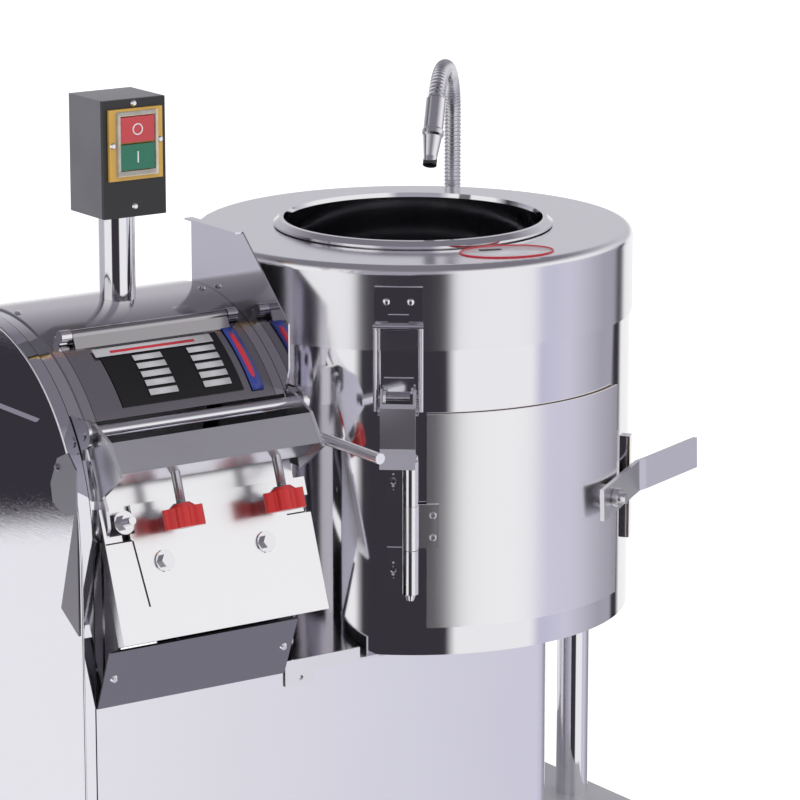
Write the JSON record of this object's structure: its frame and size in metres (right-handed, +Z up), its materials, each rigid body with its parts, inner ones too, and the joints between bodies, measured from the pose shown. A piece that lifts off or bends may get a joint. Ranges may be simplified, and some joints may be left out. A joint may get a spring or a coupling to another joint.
{
  "type": "electric potato peeler",
  "caption": "Stainless steel potato peeling drum with discharge door beside an arched vegetable slicing head with clamp knobs, on one cabinet with a switch post and a rinsing hose.",
  "frame": {"origin": "on the floor, under the middle of the machine's bounding box", "axes": "+Z up, -Y towards the user (door and knobs), +X towards the peeling drum"},
  "size_m": [0.6697, 0.479, 0.763],
  "materials": {
    "sheet_steel": "polished",
    "polished_steel": "polished",
    "tray_steel": "satin",
    "dark_steel": "satin",
    "grey_metal": "satin",
    "black_plastic": "gloss",
    "yellow_plastic": "gloss",
    "red_plastic": "gloss",
    "green_plastic": "gloss",
    "printed_plate": "satin",
    "cast_metal": "satin",
    "abrasive": "rough",
    "motor_paint": "satin",
    "foot_rubber": "matte",
    "seal_rubber": "matte",
    "hose_steel": "polished"
  },
  "bodies": {
    "frame": {"base_tray": "tray_steel", "rubber_feet": "foot_rubber", "cabinet_shell": "sheet_steel", "service_cover": "sheet_steel", "panel_screws": "polished_steel", "cable_gland": "black_plastic", "deck": "sheet_steel", "left_end_panel": "sheet_steel", "arch_band": "sheet_steel", "arch_skin": "sheet_steel", "cover_hinge_rod": "polished_steel", "splash_guard": "sheet_steel", "clamp_rod": "polished_steel", "plate_bolts": "polished_steel", "knife_bar": "sheet_steel", "cheeks": "sheet_steel", "lower_guard": "dark_steel", "side_brackets": "sheet_steel", "slicing_housing": "sheet_steel", "shaft_bearings": "polished_steel", "drive_motors": "motor_paint", "bearing_housing": "cast_metal", "drum_shell": "sheet_steel", "drum_liner": "abrasive", "lid_ring": "sheet_steel", "mouth_rim": "sheet_steel", "rubber_seals": "seal_rubber", "drain_pipe": "sheet_steel", "drum_brackets": "sheet_steel", "hinge_and_pin": "polished_steel", "switch_post": "polished_steel", "switch_box": "grey_metal", "face_plate": "black_plastic", "button_surround": "yellow_plastic", "contact_block": "black_plastic", "support_columns": "sheet_steel", "water_hose": "hose_steel", "hose_fitting": "polished_steel", "hose_nozzle": "hose_steel", "drive_belts": "seal_rubber"},
    "cover": {"front_cover": "polished_steel", "rating_plate": "printed_plate"},
    "clamp": {"clamp_beam": "sheet_steel"},
    "front_plate": {"blade_plate": "sheet_steel"},
    "left_feed": {"pressure_pad_left": "polished_steel"},
    "left_knob": {"knob_left": "red_plastic"},
    "right_feed": {"pressure_pad_right": "polished_steel"},
    "right_knob": {"knob_right": "red_plastic"},
    "slicing_rotor": {"rotor": "cast_metal", "rotor_shaft": "polished_steel"},
    "slicing_motor_shaft": {"slicer_motor_rotor": "cast_metal"},
    "peeling_disc": {"abrasive_disc": "abrasive", "disc_shaft": "cast_metal"},
    "peeling_motor_shaft": {"peeler_motor_rotor": "cast_metal"},
    "door": {"discharge_door": "sheet_steel"},
    "handle": {"door_handle": "sheet_steel"},
    "latch": {"latch_lever": "polished_steel"},
    "loop": {"latch_loop": "polished_steel"},
    "stop_button": {"off_button": "red_plastic"},
    "start_button": {"on_button": "green_plastic"}
  },
  "joints": [
    {"name": "front_cover_hinge", "type": "hinge", "parent": "frame", "child": "cover", "pos_m": [-0.213, -0.03203, 0.57198], "axis": [-1, 0, 0], "range_deg": [0, 105]},
    {"name": "clamp_swing", "type": "hinge", "parent": "frame", "child": "clamp", "pos_m": [-0.212, -0.1105, 0.506], "axis": [-1, 0, 0], "range_deg": [0, 60]},
    {"name": "blade_plate_slide", "type": "slide", "parent": "frame", "child": "front_plate", "axis": [0, -0.3338, -0.9426], "range_m": [0, 0.005]},
    {"name": "left_screw_feed", "type": "slide", "parent": "clamp", "child": "left_feed", "axis": [0, 0.3338, 0.9426], "range_m": [0, 0.005]},
    {"name": "left_knob_turn", "type": "hinge", "parent": "left_feed", "child": "left_knob", "pos_m": [-0.251, -0.1485, 0.469], "axis": [0, 0.3338, 0.9426], "range_deg": [0, 1441]},
    {"name": "right_screw_feed", "type": "slide", "parent": "clamp", "child": "right_feed", "axis": [0, 0.3338, 0.9426], "range_m": [0, 0.005]},
    {"name": "right_knob_turn", "type": "hinge", "parent": "right_feed", "child": "right_knob", "pos_m": [-0.151, -0.1485, 0.469], "axis": [0, 0.3338, 0.9426], "range_deg": [0, 1441]},
    {"name": "slicing_rotor_spin", "type": "hinge", "parent": "frame", "child": "slicing_rotor", "pos_m": [-0.212, 0.046, 0.412], "axis": [1, 0, 0], "continuous": true},
    {"name": "slicing_motor_spin", "type": "hinge", "parent": "frame", "child": "slicing_motor_shaft", "pos_m": [-0.312, 0.046, 0.143], "axis": [1, 0, 0], "continuous": true},
    {"name": "peeling_disc_spin", "type": "hinge", "parent": "frame", "child": "peeling_disc", "pos_m": [0.104, 0.0185, 0.29], "axis": [0, 0, 1], "continuous": true},
    {"name": "peeling_motor_spin", "type": "hinge", "parent": "frame", "child": "peeling_motor_shaft", "pos_m": [-0.031, 0.0935, 0.22], "axis": [0, 0, 1], "continuous": true},
    {"name": "door_hinge", "type": "hinge", "parent": "frame", "child": "door", "pos_m": [-0.01473, -0.15106, 0.389], "axis": [0, 0, -1], "range_deg": [0, 105]},
    {"name": "door_handle_turn", "type": "hinge", "parent": "door", "child": "handle", "pos_m": [0.18995, -0.16893, 0.3905], "axis": [0.5446, -0.8387, 0], "range_deg": [0, 85]},
    {"name": "latch_lever_turn", "type": "hinge", "parent": "frame", "child": "latch", "pos_m": [-0.02344, -0.14462, 0.505], "axis": [-0.788, 0.6157, 0], "range_deg": [0, 120]},
    {"name": "latch_loop_turn", "type": "hinge", "parent": "latch", "child": "loop", "pos_m": [-0.02344, -0.14462, 0.493], "axis": [-0.788, 0.6157, 0], "range_deg": [-120, 0]},
    {"name": "stop_button_press", "type": "slide", "parent": "frame", "child": "stop_button", "axis": [0, 1, 0], "range_m": [0, 0.003], "stiffness_N_per_m": 400, "springref_m": -0.001},
    {"name": "start_button_press", "type": "slide", "parent": "frame", "child": "start_button", "axis": [0, 1, 0], "range_m": [0, 0.003], "stiffness_N_per_m": 400, "springref_m": -0.001}
  ],
  "couplings": [
    {"joint": "left_knob_turn", "follows": "left_screw_feed", "rad_per_m": 5026.5},
    {"joint": "right_knob_turn", "follows": "right_screw_feed", "rad_per_m": 5026.5},
    {"joint": "slicing_motor_spin", "follows": "slicing_rotor_spin", "ratio": 1.8182},
    {"joint": "peeling_motor_spin", "follows": "peeling_disc_spin", "ratio": 2.1818},
    {"joint": "latch_loop_turn", "follows": "latch_lever_turn", "ratio": -1}
  ]
}
